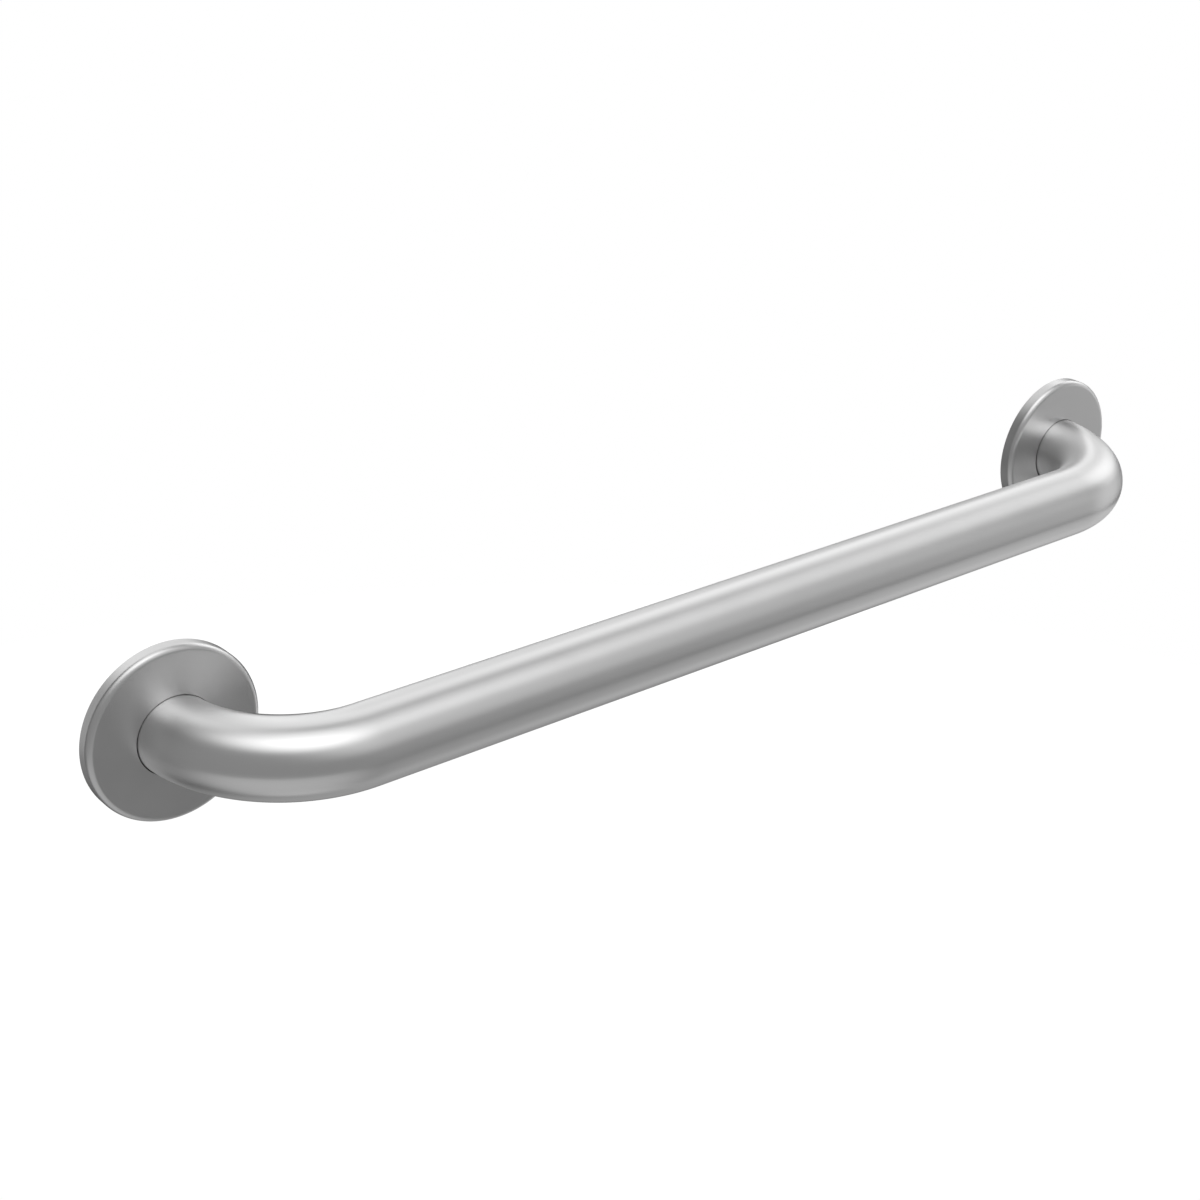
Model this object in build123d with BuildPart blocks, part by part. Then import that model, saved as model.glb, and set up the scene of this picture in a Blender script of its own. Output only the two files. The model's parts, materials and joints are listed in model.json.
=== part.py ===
"""Wall grab bar: a bent tube welded into two round flanges, each hidden by a slip-on cover.

Frame, in millimetres: the origin is midway between the two flange centres, on the wall.
+X runs along the bar, +Y points into the wall and +Z is up, so the grip stands off at -Y.
"""
import os
from math import sqrt

from build123d import *

# Bent tube
tube_diameter = 32.0
tube_wall = 1.2
fixing_distance = 500.0  # between the two flange centres
hand_clearance = 38.0  # from the wall to the back of the grip
tube_root = 2.0  # straight length at the wall, before the bend starts

# Mounting flange
flange_rim = 18.6  # how far the flange stands out past the tube, all round
flange_thickness = 3.0
flange_edge_chamfer = 0.5
socket_clearance = 0.1  # between the tube and its hole in the flange, on the radius
screw_hole_diameter = 5.5
screw_count = 3
screw_edge_distance = 8.6  # from a screw hole's centre to the flange's edge
weld_leg = 2.4
weld_crown = 0.25  # how far the weld's face bulges past a straight line

# Drawn cover
cover_sheet = 0.8
cover_edge_radius = 2.4
cover_headroom = 0.6  # between the weld's leg and the back of the cover's face
cover_wall_gap = 0.3  # keeps the cover's rim off the wall
cover_flange_clearance = 0.4  # on the radius
cover_tube_clearance = 0.3  # on the radius
cover_hole_chamfer = 0.2

# Sizes that follow
tube_radius = tube_diameter / 2
bore_radius = tube_radius - tube_wall
projection = hand_clearance + tube_radius
bend_radius = projection - tube_root
flange_x = fixing_distance / 2
flange_radius = tube_radius + flange_rim
screw_circle_radius = flange_radius - screw_edge_distance
weld_top = flange_thickness + weld_leg
cover_radius = flange_radius + cover_flange_clearance + cover_sheet
cover_depth = weld_top + cover_headroom + cover_sheet

# The cover's face lies a little way into the bend, where the tube leans towards the bar's middle,
# so the cover's hole is set over with it.
cover_rise = max(cover_depth - tube_root, 0.0)
inner_reach = bend_radius - sqrt((bend_radius - tube_radius) ** 2 - cover_rise**2)
outer_reach = sqrt((bend_radius + tube_radius) ** 2 - cover_rise**2) - bend_radius
cover_hole_offset = (inner_reach - outer_reach) / 2
cover_hole_radius = (inner_reach + outer_reach) / 2 + cover_tube_clearance


def wall_plane(x, depth=0.0):
    """Plane parallel to the wall that faces the room, centred on a flange."""
    return Plane(origin=(x, -depth, 0), x_dir=(1, 0, 0), z_dir=(0, -1, 0))


def write(builder, name):
    """Label a finished piece and write it to its own file."""
    builder.part.label = name
    export_step(builder.part, f"parts/{name}.step")


os.makedirs("parts", exist_ok=True)

# Tube, swept along straight runs joined by two quarter bends
with BuildLine() as tube_route:
    FilletPolyline(
        (-flange_x, 0),
        (-flange_x, -projection),
        (flange_x, -projection),
        (flange_x, 0),
        radius=bend_radius,
    )

with BuildPart() as tube_envelope:
    with BuildSketch(wall_plane(-flange_x)):
        Circle(tube_radius)
    sweep(path=tube_route.line)

with BuildPart() as grab_tube:
    add(tube_envelope.part)
    with BuildSketch(wall_plane(-flange_x)):
        Circle(bore_radius)
    sweep(path=tube_route.line, mode=Mode.SUBTRACT)
write(grab_tube, "grab_tube")

for side, inward, outer_angle in (("left", 1, 180), ("right", -1, 0)):
    x = -inward * flange_x
    leg_axis = Axis((x, 0, 0), (0, -1, 0))

    # Flange plate: the tube's socket, and screw holes with one of them outermost
    with BuildPart() as flange:
        with BuildSketch(wall_plane(x)):
            Circle(flange_radius)
            Circle(tube_radius + socket_clearance, mode=Mode.SUBTRACT)
            with PolarLocations(screw_circle_radius, screw_count, start_angle=outer_angle):
                Circle(screw_hole_diameter / 2, mode=Mode.SUBTRACT)
        extrude(amount=flange_thickness)
        front_edges = flange.faces().sort_by(Axis.Y)[0].edges()
        chamfer(front_edges.sort_by(SortBy.LENGTH)[-1], flange_edge_chamfer)
    write(flange, f"{side}_mounting_flange")

    # Fillet weld, crowned on its face and cut to the leaning tube
    with BuildPart() as weld:
        with BuildSketch(Plane(origin=(x, 0, 0), x_dir=(1, 0, 0), z_dir=(0, 0, 1))):
            with BuildLine():
                toe = (tube_radius + weld_leg, -flange_thickness)
                top = (bore_radius, -weld_top - tube_wall)
                root = (bore_radius, -flange_thickness)
                SagittaArc(toe, top, weld_crown)
                Polyline(top, root, toe)
            make_face()
        revolve(axis=leg_axis)
        add(tube_envelope.part, mode=Mode.SUBTRACT)
    write(weld, f"{side}_weld_bead")

    # Cover: a shallow drawn dish with a rounded edge and a hole for the tube
    with BuildPart() as cover:
        with BuildSketch(wall_plane(x, cover_wall_gap)):
            Circle(cover_radius)
        extrude(amount=cover_depth - cover_wall_gap)
        fillet(cover.faces().sort_by(Axis.Y)[0].edges(), cover_edge_radius)
        offset(amount=-cover_sheet, openings=cover.faces().sort_by(Axis.Y)[-1])
        with BuildSketch(wall_plane(x + inward * cover_hole_offset)):
            Circle(cover_hole_radius)
        extrude(amount=cover_depth, mode=Mode.SUBTRACT)
        hole_edges = cover.faces().sort_by(Axis.Y)[0].edges()
        chamfer(hole_edges.sort_by(SortBy.LENGTH)[0], cover_hole_chamfer)
    write(cover, f"{side}_cover")
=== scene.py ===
"""Looks of the grab bar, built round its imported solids.

Metres. The wall is the plane Y = 0, the bar stands off it towards -Y, and +Z is up.
"""
import json
import math

import bmesh
import bpy
from mathutils import Matrix, Vector


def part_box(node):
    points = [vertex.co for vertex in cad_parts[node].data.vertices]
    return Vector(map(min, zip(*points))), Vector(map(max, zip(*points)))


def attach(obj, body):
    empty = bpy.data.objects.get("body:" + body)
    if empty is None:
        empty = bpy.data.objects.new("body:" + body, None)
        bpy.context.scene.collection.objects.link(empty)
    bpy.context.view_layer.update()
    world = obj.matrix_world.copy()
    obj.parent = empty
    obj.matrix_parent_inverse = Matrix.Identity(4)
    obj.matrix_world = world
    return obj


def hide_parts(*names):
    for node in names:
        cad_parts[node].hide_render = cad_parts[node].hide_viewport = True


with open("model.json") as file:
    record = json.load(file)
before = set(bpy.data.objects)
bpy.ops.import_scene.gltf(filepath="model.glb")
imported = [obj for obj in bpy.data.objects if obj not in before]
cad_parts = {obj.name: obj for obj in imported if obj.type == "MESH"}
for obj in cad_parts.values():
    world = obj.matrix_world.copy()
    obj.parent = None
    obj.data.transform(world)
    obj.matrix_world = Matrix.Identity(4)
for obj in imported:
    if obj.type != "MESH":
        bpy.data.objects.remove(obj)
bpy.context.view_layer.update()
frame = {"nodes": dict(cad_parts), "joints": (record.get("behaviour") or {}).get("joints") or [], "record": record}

MM = 0.001
UV_NAME = "path"  # metres along a piece, and metres round it

# Sizes read from the frame
tube_low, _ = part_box("grab_tube")
cover_low, cover_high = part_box("left_cover")
flange_low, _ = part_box("left_mounting_flange")
weld_low, weld_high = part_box("left_weld_bead")
mounts = {mount["name"]: mount for mount in frame["record"]["mounts"]}
bend_centre = frame["joints"][0]["pos_m"]
FLANGE_X = mounts["right_wall_face"]["pos_m"][0]
TUBE_ROOT = -bend_centre[1]
BEND_RADIUS = FLANGE_X - abs(bend_centre[0])
PROJECTION = TUBE_ROOT + BEND_RADIUS
TUBE_RADIUS = -tube_low.y - PROJECTION
COVER_RADIUS = cover_high.z
COVER_DEPTH = -cover_low.y
COVER_WALL_GAP = -cover_high.y
FLANGE_DEPTH = -flange_low.y
WELD_RADIUS = weld_high.z
WELD_DEPTH = -weld_low.y

# Sizes that the boxes don't give
TUBE_WALL = 1.2 * MM
COVER_SHEET = 0.8 * MM
COVER_EDGE_RADIUS = 2.4 * MM
COVER_TUBE_CLEARANCE = 0.3 * MM
COVER_HOLE_EDGE = 0.2 * MM
COVER_SAG = 0.18 * MM  # covers hang on the tube, so the gap closes above it and opens below
SUPPORT = 0.08 * MM  # keeps flat faces flat beside a rounded edge
DEBURR = 0.15 * MM

# Weld bead: it stays inside its solid, and its edges wander a little
WELD_CROWN = 0.15 * MM
WELD_RIPPLES = 46
WELD_RIPPLE_HEIGHT = 0.10 * MM
WELD_RIPPLE_BOW = 1.6  # radians by which a ripple lags at the middle of the bead's face
WELD_TOE_ROOM = 0.2 * MM
WELD_TOP_ROOM = 0.5 * MM
WELD_WANDER = ((3, 0.12 * MM, 0.7), (7, 0.08 * MM, 0.0))  # waves round the bead, height and phase

# Mesh densities
TUBE_SIDES = 144
BEND_STEPS = 56
GRIP_STEPS = 60
COVER_SIDES = 192
COVER_EDGE_STEPS = 14
COVER_INNER_EDGE_STEPS = 10
COVER_HOLE_STEPS = 6
WELD_STEPS = 360
WELD_FACE_STEPS = 10
FLOOR_SIDES = 96
REACH_BRACKET = (0.8, 1.2)  # shares of the tube's radius between which the search for its surface starts
REACH_HALVINGS = 30
SHARP_ANGLE = math.radians(40)  # edges that turn further than this are shaded sharp

# Camera, angles in degrees
CAMERA_TARGET = Vector((-0.0638, -0.0252, 0.0105))
CAMERA_DISTANCE = 0.8704
CAMERA_AZIMUTH = -39.83
CAMERA_ELEVATION = 25.41
CAMERA_ROLL = 1.74
CAMERA_LENS_MM = 63.4
CAMERA_NEAR = 0.01

# Studio: soft lights far off, above and below a horizon. Each light has a longitude (0 is -Y and 90 is
# +X), a latitude, the angles from its middle at which it starts to fade and is gone, all in degrees, and
# a radiance.
SKY_LIGHTS = {
    "overhead": (-20, 75, 0, 40, 1.55),
    "front": (25, 40, 0, 40, 0.55),
    "room": (-40, 0, 75, 85, 0.3),
    "right_high": (95, 25, 10, 25, 1.85),
    "right_low": (70, -5, 20, 25, 0.9),
    "right_far": (125, 25, 0, 15, 0.9),
    "behind": (160, 35, 25, 45, 0.95),
    "back_left": (-170, 0, 30, 40, 0.6),
}
GROUND_LIGHTS = {
    "ground": (0, -90, 90, 91, 0.05),
    "low_front": (-40, -40, 40, 50, 0.5),
    "low_right": (80, -25, 5, 40, 0.8),
    "low_middle": (120, -70, 0, 40, 0.35),
    "low_back": (-145, -20, 25, 40, 0.2),
}
HORIZON = (-28, -24)  # latitudes between which the ground gives way to the sky
FLOOR_Z = -0.5
FLOOR_RADIUS = 1.05
FLOOR_ALBEDO = 0.6
FLOOR_GLOW = 1.1
FLOOR_GLOW_SHARE = 0.85  # of what the camera sees at the middle of the floor
FLOOR_FADE = (0.5, 0.95)  # shares of the radius between which the glow takes over

# Finishes
NOISE_LOW, NOISE_HIGH = 0.3, 0.7  # most values of a noise lie between these
FINE_SHARE, SLOW_SHARE = 0.45, 0.55  # of brushed lines and slow clouds in a finish
BRUSH_STRENGTH = 0.5


def running_lengths(points):
    """Distance from the first point to each point, along the points."""
    lengths = [0.0]
    for before, point in zip(points, points[1:]):
        lengths.append(lengths[-1] + math.dist(before, point))
    return lengths


def skin(name, rings, lengths, girth):
    """Closed mesh of quads through equal rings of points; the last ring joins the first.

    lengths holds the distance along the piece at each ring, and girth is the distance round a ring.
    """
    sides = len(rings[0])
    mesh = bpy.data.meshes.new(name)
    grid = bmesh.new()
    rows = [[grid.verts.new(point) for point in ring] for ring in rings]
    uv = grid.loops.layers.uv.new(UV_NAME)
    for i, row in enumerate(rows):
        j = (i + 1) % len(rows)
        u0, u1 = lengths[i], lengths[j] if j else lengths[i]
        for k in range(sides):
            m = (k + 1) % sides
            face = grid.faces.new((row[k], row[m], rows[j][m], rows[j][k]))
            face.smooth = True
            v0, v1 = girth * k / sides, girth * (k + 1) / sides
            for loop, place in zip(face.loops, ((u0, v0), (u0, v1), (u1, v1), (u1, v0))):
                loop[uv].uv = place
    bmesh.ops.recalc_face_normals(grid, faces=grid.faces)
    grid.to_mesh(mesh)
    grid.free()
    mesh.set_sharp_from_angle(angle=SHARP_ANGLE)
    piece = bpy.data.objects.new(name, mesh)
    bpy.context.scene.collection.objects.link(piece)
    return piece


def finish_piece(piece, node, body, material):
    """Let a piece stand for a solid, ride on its body and wear a material."""
    piece.data.materials.append(material)
    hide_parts(node)
    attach(piece, body)


def tube_stations():
    """(point, direction) down the tube's centre line, from the left wall to the right wall."""
    stations = [(Vector((-FLANGE_X, 0, 0)), Vector((0, -1, 0)))]
    centre = Vector((-FLANGE_X + BEND_RADIUS, -TUBE_ROOT, 0))
    for i in range(BEND_STEPS + 1):
        turn = math.pi / 2 * i / BEND_STEPS
        out = Vector((-math.cos(turn), -math.sin(turn), 0))
        stations.append((centre + BEND_RADIUS * out, Vector((math.sin(turn), -math.cos(turn), 0))))
    grip = FLANGE_X - BEND_RADIUS
    for i in range(1, GRIP_STEPS):
        x = grip * (2 * i / GRIP_STEPS - 1)
        stations.append((Vector((x, -PROJECTION, 0)), Vector((1, 0, 0))))
    flip = Matrix.Scale(-1, 4, Vector((1, 0, 0)))
    far = [(flip @ p, -(flip @ d)) for p, d in reversed(stations[: BEND_STEPS + 2])]
    return stations + far


def tube_ring(point, direction, radius):
    """Points round the tube at one station."""
    side = Vector((direction.y, -direction.x, 0))
    ring = []
    for k in range(TUBE_SIDES):
        angle = 2 * math.pi * k / TUBE_SIDES
        ring.append(point + radius * (math.cos(angle) * side + math.sin(angle) * Vector((0, 0, 1))))
    return ring


def wall_rings(stations, radius, bevel):
    """Rings down one face of the tube's wall, whose radius differs by the bevel at both open ends."""
    (start, start_direction), *middle, (stop, stop_direction) = stations
    rings = [
        tube_ring(start, start_direction, radius + bevel),
        tube_ring(start + DEBURR * start_direction, start_direction, radius),
    ]
    rings += [tube_ring(point, direction, radius) for point, direction in middle]
    rings += [
        tube_ring(stop - DEBURR * stop_direction, stop_direction, radius),
        tube_ring(stop, stop_direction, radius + bevel),
    ]
    return rings


def make_tube(material):
    """Hollow bent tube with lightly broken edges at its open ends."""
    stations = tube_stations()
    outside = wall_rings(stations, TUBE_RADIUS, -DEBURR)
    inside = wall_rings(stations, TUBE_RADIUS - TUBE_WALL, DEBURR)
    runs = running_lengths([point for point, _ in stations])
    lengths = [0.0, DEBURR, *runs[1:-1], runs[-1] - DEBURR, runs[-1]]
    girth = 2 * math.pi * TUBE_RADIUS
    piece = skin("satin_tube", outside + inside[::-1], lengths + lengths[::-1], girth)
    finish_piece(piece, "grab_tube", "bar", material)


def leg_reach(angle, depth):
    """Distance from the leg's axis to the tube's surface, by halving; angle 0 points along the bar."""
    low, high = (share * TUBE_RADIUS for share in REACH_BRACKET)
    rise = max(depth - TUBE_ROOT, 0.0)
    for _ in range(REACH_HALVINGS):
        middle = (low + high) / 2
        ring = math.hypot(BEND_RADIUS - middle * math.cos(angle), rise) - BEND_RADIUS
        if math.hypot(ring, middle * math.sin(angle)) < TUBE_RADIUS:
            low = middle
        else:
            high = middle
    return low


def arc(centre_radius, centre_depth, radius, start, stop, steps):
    """Points (radius, depth) round part of a circle in a cover's section, angles in degrees."""
    points = []
    for i in range(steps + 1):
        angle = math.radians(start + (stop - start) * i / steps)
        points.append((centre_radius + radius * math.cos(angle), centre_depth + radius * math.sin(angle)))
    return points


def cover_section(hole_radius):
    """Closed section (radius, depth) of the drawn cover: rim, edge, face, hole, and back inside."""
    edge, sheet = COVER_EDGE_RADIUS, COVER_SHEET
    shoulder, front = COVER_RADIUS - edge, COVER_DEPTH
    back = front - sheet
    lip = hole_radius + COVER_HOLE_EDGE
    points = [(COVER_RADIUS - DEBURR, COVER_WALL_GAP), (COVER_RADIUS, COVER_WALL_GAP + DEBURR)]
    points += [(COVER_RADIUS, front - edge - SUPPORT)]
    points += arc(shoulder, front - edge, edge, 0, 90, COVER_EDGE_STEPS)
    points += [(shoulder - SUPPORT, front), (lip + SUPPORT, front)]
    points += arc(lip, front - COVER_HOLE_EDGE, COVER_HOLE_EDGE, 90, 180, COVER_HOLE_STEPS)
    points += [(hole_radius, back + DEBURR), (hole_radius + DEBURR, back), (lip + SUPPORT, back)]
    points += [(shoulder - SUPPORT, back)]
    points += arc(shoulder, front - edge, edge - sheet, 90, 0, COVER_INNER_EDGE_STEPS)
    inner = COVER_RADIUS - sheet
    points += [(inner, COVER_WALL_GAP + DEBURR), (inner + DEBURR, COVER_WALL_GAP)]
    return points


def make_cover(side, x, inward, material):
    """Drawn cover: its section turned about the leg at x, with the hole set over to the leaning tube.

    inward is 1 or -1, the way along X from the leg to the bar's middle.
    """
    inner_reach = leg_reach(0.0, COVER_DEPTH)
    outer_reach = leg_reach(math.pi, COVER_DEPTH)
    hole_offset = inward * (inner_reach - outer_reach) / 2
    section = cover_section((inner_reach + outer_reach) / 2 + COVER_TUBE_CLEARANCE)
    shoulder = COVER_RADIUS - COVER_EDGE_RADIUS - 2 * SUPPORT
    rings = []
    for radius, depth in section:
        across, down = (hole_offset, COVER_SAG) if radius < shoulder else (0.0, 0.0)
        centre = Vector((x + across, -depth, -down))
        ring = []
        for k in range(COVER_SIDES):
            angle = 2 * math.pi * k / COVER_SIDES
            ring.append(centre + radius * Vector((math.cos(angle), 0, math.sin(angle))))
        rings.append(ring)
    piece = skin(f"{side}_drawn_cover", rings, running_lengths(section), 2 * math.pi * COVER_RADIUS)
    finish_piece(piece, f"{side}_cover", f"{side}_cover", material)


def weld_section(angle):
    """Closed section (radius, depth) of the weld bead at an angle round the leg."""
    wander = sum(height * math.sin(waves * angle + phase) for waves, height, phase in WELD_WANDER)
    toe = Vector((WELD_RADIUS - WELD_TOE_ROOM + min(wander, 0.0), FLANGE_DEPTH))
    top_depth = WELD_DEPTH - WELD_TOP_ROOM + wander
    top = Vector((leg_reach(angle, top_depth), top_depth))
    normal = Vector((top.y - toe.y, toe.x - top.x)).normalized()
    section = []
    for k in range(WELD_FACE_STEPS + 1):
        share = k / WELD_FACE_STEPS
        swell = 4 * share * (1 - share)
        wave = math.sin(WELD_RIPPLES * angle - WELD_RIPPLE_BOW * swell)
        lift = swell * (WELD_CROWN + WELD_RIPPLE_HEIGHT * (1 - abs(wave)))
        section.append(toe.lerp(top, share) + lift * normal)
    for depth in ((FLANGE_DEPTH + top_depth) / 2, FLANGE_DEPTH):
        section.append(Vector((leg_reach(angle, depth), depth)))
    return section


def make_weld(side, x, inward, material):
    """Weld bead round the root of the leg at x, with the overlapping ripples of a hand-laid bead."""
    rings, lengths = [], []
    for i in range(WELD_STEPS):
        angle = 2 * math.pi * i / WELD_STEPS
        across, up = inward * math.cos(angle), math.sin(angle)
        rings.append([Vector((x + p.x * across, -p.y, p.x * up)) for p in weld_section(angle)])
        lengths.append(angle * WELD_RADIUS)
    piece = skin(f"{side}_weld_ripples", rings, lengths, 4 * (WELD_RADIUS - TUBE_RADIUS))
    finish_piece(piece, f"{side}_weld_bead", "bar", material)


class Nodes:
    """Small helper for writing the node tree of a material or the world."""

    def __init__(self, owner):
        owner.use_nodes = True
        self.tree = owner.node_tree
        self.shader = self.tree.nodes.get("Principled BSDF")

    def add(self, kind, **settings):
        node = self.tree.nodes.new(kind)
        for key, value in settings.items():
            setattr(node, key, value)
        return node

    def link(self, source, target):
        self.tree.links.new(source, target)

    def stretched_noise(self, coordinates, scale, detail=2.0, roughness=0.5):
        """Noise whose grain is finer along some directions than others."""
        mapping = self.add("ShaderNodeMapping")
        mapping.inputs["Scale"].default_value = scale
        noise = self.add("ShaderNodeTexNoise")
        noise.inputs["Scale"].default_value = 1.0
        noise.inputs["Detail"].default_value = detail
        noise.inputs["Roughness"].default_value = roughness
        self.link(coordinates, mapping.inputs["Vector"])
        self.link(mapping.outputs["Vector"], noise.inputs["Vector"])
        return noise.outputs["Fac"]

    def spread(self, value, low, high, start=NOISE_LOW, stop=NOISE_HIGH, shape="LINEAR"):
        """Map values from start to stop, which suit noise unless given, to a range."""
        node = self.add("ShaderNodeMapRange", interpolation_type=shape)
        for name, number in (("From Min", start), ("From Max", stop), ("To Min", low), ("To Max", high)):
            node.inputs[name].default_value = number
        self.link(value, node.inputs["Value"])
        return node.outputs["Result"]

    def maths(self, operation, first, second):
        """Combine two values, each a number or a socket."""
        node = self.add("ShaderNodeMath", operation=operation)
        for socket, value in zip(node.inputs, (first, second)):
            if isinstance(value, (int, float)):
                socket.default_value = value
            else:
                self.link(value, socket)
        return node.outputs["Value"]

    def ramp(self, value, stops):
        """Colours along a value, from (place, colour) stops."""
        node = self.add("ShaderNodeValToRGB")
        elements = node.color_ramp.elements
        while len(elements) < len(stops):
            elements.new(0.5)
        for element, (place, colour) in zip(elements, stops):
            element.position = place
            element.color = (*colour, 1.0)
        self.link(value, node.inputs["Fac"])
        return node.outputs["Color"]

    def bump(self, height, strength, distance):
        node = self.add("ShaderNodeBump")
        node.inputs["Strength"].default_value = strength
        node.inputs["Distance"].default_value = distance
        self.link(height, node.inputs["Height"])
        self.link(node.outputs["Normal"], self.shader.inputs["Normal"])

    def surface(self, kind, first, second, share):
        """Mix two shaders and make the mix the output."""
        mix = self.add("ShaderNodeMixShader")
        self.link(share, mix.inputs["Fac"])
        self.link(first.outputs[0], mix.inputs[1])
        self.link(second.outputs[0], mix.inputs[2])
        self.link(mix.outputs["Shader"], self.add(kind).inputs["Surface"])


def grey(value):
    return (value, value, value)


def brushed_steel(name, coordinates, grain, cloud, shade, rough, lines):
    """Satin steel: fine brushed lines, slow changes in polish and a faint change in tone.

    grain and cloud are noise scales per metre along the coordinates, shade and rough are (low, high)
    pairs, and lines is the depth of the brushing in metres.
    """
    material = bpy.data.materials.new(name)
    nodes = Nodes(material)
    nodes.shader.inputs["Metallic"].default_value = 1.0
    if coordinates == "UV":
        place = nodes.add("ShaderNodeUVMap", uv_map=UV_NAME).outputs["UV"]
    else:
        place = nodes.add("ShaderNodeTexCoord").outputs["Object"]
    fine = nodes.stretched_noise(place, grain, detail=3.0, roughness=0.6)
    slow = nodes.stretched_noise(place, cloud, detail=3.0)
    lined = nodes.maths("MULTIPLY", fine, FINE_SHARE)
    clouded = nodes.maths("MULTIPLY", slow, SLOW_SHARE)
    mixed = nodes.maths("ADD", lined, clouded)
    nodes.link(nodes.spread(mixed, *rough), nodes.shader.inputs["Roughness"])
    tone = nodes.ramp(mixed, ((NOISE_LOW, grey(shade[0])), (NOISE_HIGH, grey(shade[1]))))
    nodes.link(tone, nodes.shader.inputs["Base Color"])
    nodes.bump(fine, BRUSH_STRENGTH, lines)
    return material


def ground_along_path(material, amount):
    """Stretch a finish's highlights along its piece, as lines ground round the piece do."""
    nodes = Nodes(material)
    tangent = nodes.add("ShaderNodeTangent", direction_type="UV_MAP", uv_map=UV_NAME)
    nodes.link(tangent.outputs["Tangent"], nodes.shader.inputs["Tangent"])
    nodes.shader.inputs["Anisotropic"].default_value = amount


def weld_metal(name):
    """Weld metal: matt grey with straw and faint blue heat tint in patches."""
    patch_scale, grit_scale = 90, 2500
    grit_strength, grit_depth = 0.4, 0.03 * MM
    rough = (0.34, 0.52)
    tints = (
        (0.30, (0.46, 0.45, 0.44)),
        (0.46, (0.50, 0.46, 0.40)),
        (0.58, (0.44, 0.37, 0.29)),
        (0.72, (0.36, 0.37, 0.42)),
    )
    material = bpy.data.materials.new(name)
    nodes = Nodes(material)
    nodes.shader.inputs["Metallic"].default_value = 1.0
    place = nodes.add("ShaderNodeTexCoord").outputs["Object"]
    patches = nodes.stretched_noise(place, grey(patch_scale), detail=3.0)
    grit = nodes.stretched_noise(place, grey(grit_scale), detail=2.0)
    nodes.link(nodes.ramp(patches, tints), nodes.shader.inputs["Base Color"])
    nodes.link(nodes.spread(grit, *rough), nodes.shader.inputs["Roughness"])
    nodes.bump(grit, grit_strength, grit_depth)
    return material


def toward(longitude, latitude):
    """Unit vector to a place on the studio's sphere, angles in degrees."""
    turn, rise = math.radians(longitude), math.radians(latitude)
    return Vector((math.sin(turn) * math.cos(rise), -math.cos(turn) * math.cos(rise), math.sin(rise)))


def make_camera():
    """Camera at the fitted viewing angle."""
    turn, roll = math.radians(CAMERA_AZIMUTH), math.radians(CAMERA_ROLL)
    back = toward(CAMERA_AZIMUTH, CAMERA_ELEVATION)
    right = Vector((math.cos(turn), math.sin(turn), 0))
    up = back.cross(right)
    turned_right = right * math.cos(roll) + up * math.sin(roll)
    turned_up = up * math.cos(roll) - right * math.sin(roll)
    data = bpy.data.cameras.new("camera")
    data.lens = CAMERA_LENS_MM
    data.clip_start = CAMERA_NEAR
    camera = bpy.data.objects.new("camera", data)
    bpy.context.scene.collection.objects.link(camera)
    facing = Matrix((turned_right, turned_up, back)).transposed().to_4x4()
    camera.matrix_world = Matrix.Translation(CAMERA_TARGET + CAMERA_DISTANCE * back) @ facing
    bpy.context.scene.camera = camera


def sum_of_lights(nodes, direction, lights):
    """Radiance that soft lights send from a direction."""
    total = 0.0
    for longitude, latitude, full, gone, radiance in lights.values():
        facing = nodes.add("ShaderNodeVectorMath", operation="DOT_PRODUCT")
        facing.inputs[1].default_value = toward(longitude, latitude)
        nodes.link(direction, facing.inputs[0])
        edge, middle = math.cos(math.radians(gone)), math.cos(math.radians(full))
        light = nodes.spread(facing.outputs["Value"], 0.0, radiance, edge, middle, "SMOOTHSTEP")
        total = nodes.maths("ADD", total, light)
    return total


def make_world():
    """Soft lights all round the bar; the camera itself sees plain white."""
    world = bpy.data.worlds.new("studio")
    bpy.context.scene.world = world
    nodes = Nodes(world)
    nodes.tree.nodes.clear()
    direction = nodes.add("ShaderNodeTexCoord").outputs["Generated"]
    axes = nodes.add("ShaderNodeSeparateXYZ")
    nodes.link(direction, axes.inputs["Vector"])
    low, high = (math.sin(math.radians(latitude)) for latitude in HORIZON)
    above = nodes.spread(axes.outputs["Z"], 0.0, 1.0, low, high, "SMOOTHSTEP")
    below = nodes.maths("SUBTRACT", 1.0, above)
    sky = nodes.maths("MULTIPLY", sum_of_lights(nodes, direction, SKY_LIGHTS), above)
    ground = nodes.maths("MULTIPLY", sum_of_lights(nodes, direction, GROUND_LIGHTS), below)
    studio, white = nodes.add("ShaderNodeBackground"), nodes.add("ShaderNodeBackground")
    nodes.link(nodes.maths("ADD", sky, ground), studio.inputs["Strength"])
    studio.inputs["Color"].default_value = (1, 1, 1, 1)
    white.inputs["Color"].default_value = (1, 1, 1, 1)
    seen = nodes.add("ShaderNodeLightPath").outputs["Is Camera Ray"]
    nodes.surface("ShaderNodeOutputWorld", studio, white, seen)


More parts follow.
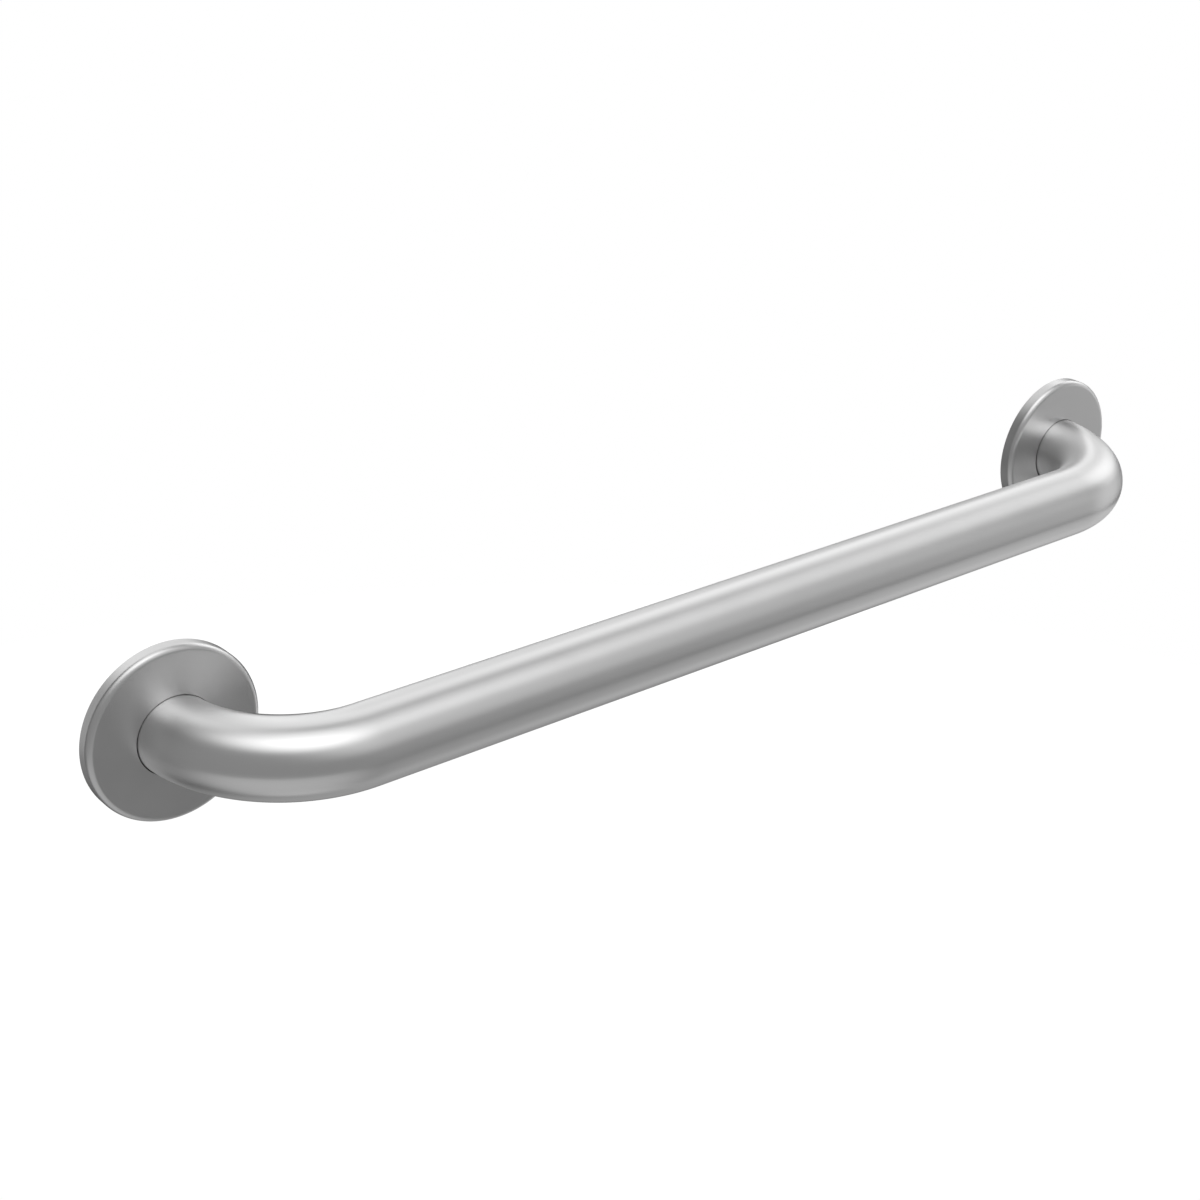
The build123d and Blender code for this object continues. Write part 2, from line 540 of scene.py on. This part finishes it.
def pale_floor_finish():
    """White to the camera, apart from a faint shadow that fades out towards the floor's rim."""
    material = bpy.data.materials.new("pale_floor")
    nodes = Nodes(material)
    nodes.tree.nodes.clear()
    diffuse = nodes.add("ShaderNodeBsdfDiffuse")
    diffuse.inputs["Color"].default_value = (*grey(FLOOR_ALBEDO), 1)
    glow = nodes.add("ShaderNodeEmission")
    glow.inputs["Strength"].default_value = FLOOR_GLOW
    reach = nodes.add("ShaderNodeVectorMath", operation="LENGTH")
    nodes.link(nodes.add("ShaderNodeTexCoord").outputs["Object"], reach.inputs[0])
    start, stop = (share * FLOOR_RADIUS for share in FLOOR_FADE)
    glowing = nodes.spread(reach.outputs["Value"], FLOOR_GLOW_SHARE, 1.0, start, stop)
    seen = nodes.add("ShaderNodeLightPath").outputs["Is Camera Ray"]
    nodes.surface("ShaderNodeOutputMaterial", diffuse, glow, nodes.maths("MULTIPLY", glowing, seen))
    return material


def make_floor():
    """Plain pale floor well below the bar."""
    mesh = bpy.data.meshes.new("floor")
    disc = bmesh.new()
    bmesh.ops.create_circle(disc, cap_ends=True, radius=FLOOR_RADIUS, segments=FLOOR_SIDES)
    disc.to_mesh(mesh)
    disc.free()
    mesh.materials.append(pale_floor_finish())
    floor = bpy.data.objects.new("floor", mesh)
    floor.location.z = FLOOR_Z
    floor.visible_glossy = False  # the ground lights stand for it in the metal
    bpy.context.scene.collection.objects.link(floor)


satin = brushed_steel(
    "satin_finish",
    "UV",
    grain=(3500, 60, 1),
    cloud=(45, 60, 1),
    shade=(0.75, 0.77),
    rough=(0.32, 0.35),
    lines=0.003 * MM,
)
ground_along_path(satin, amount=0.8)
drawn = brushed_steel(
    "drawn_finish",
    "Object",
    grain=(150, 150, 3500),
    cloud=(50, 50, 60),
    shade=(0.67, 0.69),
    rough=(0.36, 0.40),
    lines=0.0015 * MM,
)
plate = brushed_steel(
    "plate_finish",
    "Object",
    grain=(60, 200, 1400),
    cloud=(60, 60, 60),
    shade=(0.44, 0.50),
    rough=(0.34, 0.46),
    lines=0.010 * MM,
)
weld = weld_metal("weld_finish")

make_tube(satin)
for side, x, inward in (("left", -FLANGE_X, 1), ("right", FLANGE_X, -1)):
    make_cover(side, x, inward, drawn)
    make_weld(side, x, inward, weld)
    flange = frame["nodes"][f"{side}_mounting_flange"]
    flange.data.materials.clear()
    flange.data.materials.append(plate)

make_floor()
make_world()
make_camera()
bpy.context.scene.view_settings.view_transform = "Standard"
